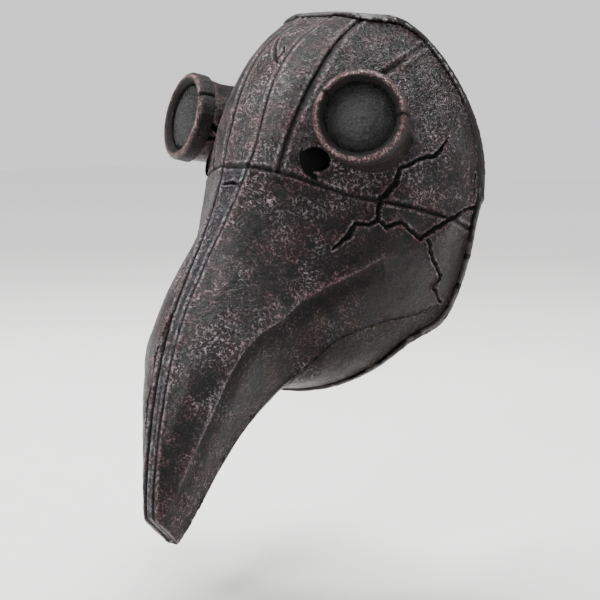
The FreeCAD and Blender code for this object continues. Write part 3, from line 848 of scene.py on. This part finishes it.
# Woven elastic: rubber threads covered in polyester. The real ribs are 0.9 mm apart; they are drawn 2.8 mm
# apart so that they show.
def makeWeave(name):
    material, tree, shader = newMaterial(name)
    place = addNode(tree, "ShaderNodeUVMap", uv_map="weave")
    ribs = addNode(tree, "ShaderNodeTexWave", {"Vector": place, "Scale": 0.31 / (2.8 * mm)}, out="Fac",
                   bands_direction="X")
    lanes = addNode(tree, "ShaderNodeTexWave", {"Vector": place, "Scale": 0.31 / (4.0 * mm)}, out="Fac",
                    bands_direction="Y")
    lift = addNode(tree, math1, {0: lanes, 1: 0.4}, operation="ADD")
    height = addNode(tree, math1, {0: ribs, 1: lift}, operation="MULTIPLY")
    lit = addNode(tree, rampKind, {"Fac": height}, [(0.1, grey(0)), (0.9, grey(1))])
    shade = addNode(tree, mixer, {"Factor": lit, 6: colour("#050505"), 7: colour("#161618")}, **asColour)
    tree.links.new(shade, shader.inputs["Base Color"])
    shader.inputs["Roughness"].default_value = 0.85
    shader.inputs["Sheen Weight"].default_value = 0.1
    bump = addNode(tree, bumpKind, {"Height": height, "Strength": 0.7, "Distance": 0.4 * mm}, out="Normal")
    tree.links.new(bump, shader.inputs["Normal"])
    return material


# Nickel-plated steel, turned: bright with faint tool marks.
def makeSteel(name):
    material, tree, shader = newMaterial(name)
    place = addNode(tree, "ShaderNodeTexCoord", out="Object")
    turned = addNode(tree, noiseKind, {"Vector": place, "Scale": 1 / (0.8 * mm), "Detail": 4.0})
    shade = addNode(tree, mixer, {"Factor": turned, 6: colour("#8f8c88"), 7: colour("#c9c6c1")}, **asColour)
    tree.links.new(shade, shader.inputs["Base Color"])
    shader.inputs["Metallic"].default_value = 1.0
    rough = addNode(tree, math1, {0: turned, 1: 0.2, 2: 0.22}, operation="MULTIPLY_ADD")
    tree.links.new(rough, shader.inputs["Roughness"])
    return material


latex = {name: makeLatex(name) for name in latexLooks}
skinFinish = {
    "crown_strip": "cast latex, copper on the crown", "brow_panel": "cast latex, copper on the crown",
    "eye_panel": "cast latex, charcoal with pewter", "cheek_panel": "cast latex, charcoal with pewter",
    "bridge_strip": "cast latex, bridge band", "beak_underside": "cast latex, under the jaw",
    "throat_panel": "cast latex, under the jaw",
}
for node, piece in zip(skinNodes, skins):
    piece.data.materials.append(latex[skinFinish[family(node)]])
for piece in tubes + rings:
    piece.data.materials.append(latex["cast latex, rubbed copper"])
rimLatex = makeDark("rolled latex edge")
lensPlastic = makeDark("vacuum formed black styrene")
shadeSheetBlack = makeDark("black sheet for painted shade")
for piece in lenses:
    piece.data.materials.append(lensPlastic)
for piece in shadeSheets:
    piece.data.materials.append(shadeSheetBlack)
rim.data.materials.append(rimLatex)
strap.data.materials.append(makeWeave("woven black elastic"))
slider.data.materials.append(makeDark("moulded black acetal"))
pinSteel = makeSteel("turned plated steel")
for word in ("left", "right"):
    for node, material in (("strap_pin_", pinSteel), ("strap_boss_", rimLatex)):
        target = nodes[node + word]
        target.data.materials.clear()
        target.data.materials.append(material)
print("materials done")

# Pale floor, soft light, and the camera to the wearer's left front.
stage = {"floor": -0.285, "size": 12.0, "paper": ("#f1efec", "#f8f7f5")}
deselectAll()
bpy.ops.mesh.primitive_plane_add(size=stage["size"], location=(0, 0, stage["floor"]))
floor = bpy.context.object
floor.name = "pale_floor"
floorMaterial, floorTree, floorShader = newMaterial("pale paper")
floorPlace = addNode(floorTree, "ShaderNodeTexCoord", out="Object")
floorGrain = addNode(floorTree, noiseKind, {"Vector": floorPlace, "Scale": 40.0, "Detail": 3.0})
floorShade = addNode(floorTree, mixer, {"Factor": floorGrain, 6: colour(stage["paper"][0]),
                                        7: colour(stage["paper"][1])}, out=2, data_type="RGBA")
floorTree.links.new(floorShade, floorShader.inputs["Base Color"])
floorShader.inputs["Roughness"].default_value = 0.9
floorShader.inputs["Emission Color"].default_value = grey(1.0)
floorAway = addNode(floorTree, "ShaderNodeVectorMath", {0: floorPlace}, out="Value", operation="LENGTH")
floorGlow = addNode(floorTree, "ShaderNodeMapRange", {"Value": floorAway, "From Min": 0.5, "From Max": 3.5,
                                                      "To Min": 0.1, "To Max": 0.85})
floorTree.links.new(floorGlow, floorShader.inputs["Emission Strength"])
floor.data.materials.append(floorMaterial)

# A studio with white walls and a dimmer ceiling: the walls' band lies around the horizon.
room = {"walls": 1.1, "ceiling": 0.12}
world = bpy.data.worlds.new("studio")
world.use_nodes = True
worldTree = world.node_tree
direction = addNode(worldTree, "ShaderNodeTexCoord", out="Generated")
heightUp = addNode(worldTree, "ShaderNodeSeparateXYZ", {0: direction}, out="Z")
heightUp = addNode(worldTree, math1, {0: heightUp, 1: 0.5, 2: 0.5}, operation="MULTIPLY_ADD")
band = addNode(worldTree, rampKind, {"Fac": heightUp},
               [(0.30, grey(0)), (0.42, grey(1)), (0.56, grey(1)), (0.70, grey(0))])
strength = addNode(worldTree, math1, {0: band, 1: room["walls"] - room["ceiling"], 2: room["ceiling"]},
                   operation="MULTIPLY_ADD")
worldTree.links.new(strength, worldTree.nodes["Background"].inputs["Strength"])
worldTree.nodes["Background"].inputs["Color"].default_value = grey(1.0)
bpy.context.scene.world = world

lights = {
    "overhead": dict(place=(-0.2, 0.3, 1.7), target=(0, 0, 0.0), size=0.9, power=84),
    "keyLeft": dict(place=(-1.5, -0.9, 1.0), target=(0, -0.1, 0.0), size=0.45, power=46),
    "front": dict(place=(0.05, -1.7, 1.2), target=(0.03, -0.05, 0.0), size=0.35, power=16),
    "sideRight": dict(place=(1.7, 0.2, 0.9), target=(0.05, 0, 0.05), size=0.5, power=7),
}
for name, light in lights.items():
    lamp = bpy.data.lights.new(name, "AREA")
    lamp.size = light["size"]
    lamp.energy = light["power"]
    holder = bpy.data.objects.new(name, lamp)
    bpy.context.scene.collection.objects.link(holder)
    holder.location = light["place"]
    aimed = Vector(light["target"]) - Vector(light["place"])
    holder.rotation_euler = aimed.to_track_quat("-Z", "Y").to_euler()

view = {"azimuth": 36.0, "elevation": 7.5, "distance": 1.05, "aim": (-0.0025, -0.029, -0.0865), "lens": 84.0}
azimuth, elevation = math.radians(view["azimuth"]), math.radians(view["elevation"])
level = math.cos(elevation)
back = Vector((math.sin(azimuth) * level, -math.cos(azimuth) * level, math.sin(elevation)))
cameraData = bpy.data.cameras.new("camera")
cameraData.lens = view["lens"]
cameraData.sensor_width = 36.0
camera = bpy.data.objects.new("camera", cameraData)
bpy.context.scene.collection.objects.link(camera)
camera.location = Vector(view["aim"]) + back * view["distance"]
camera.rotation_euler = back.to_track_quat("Z", "Y").to_euler()
bpy.context.scene.camera = camera
print("stage and camera done")
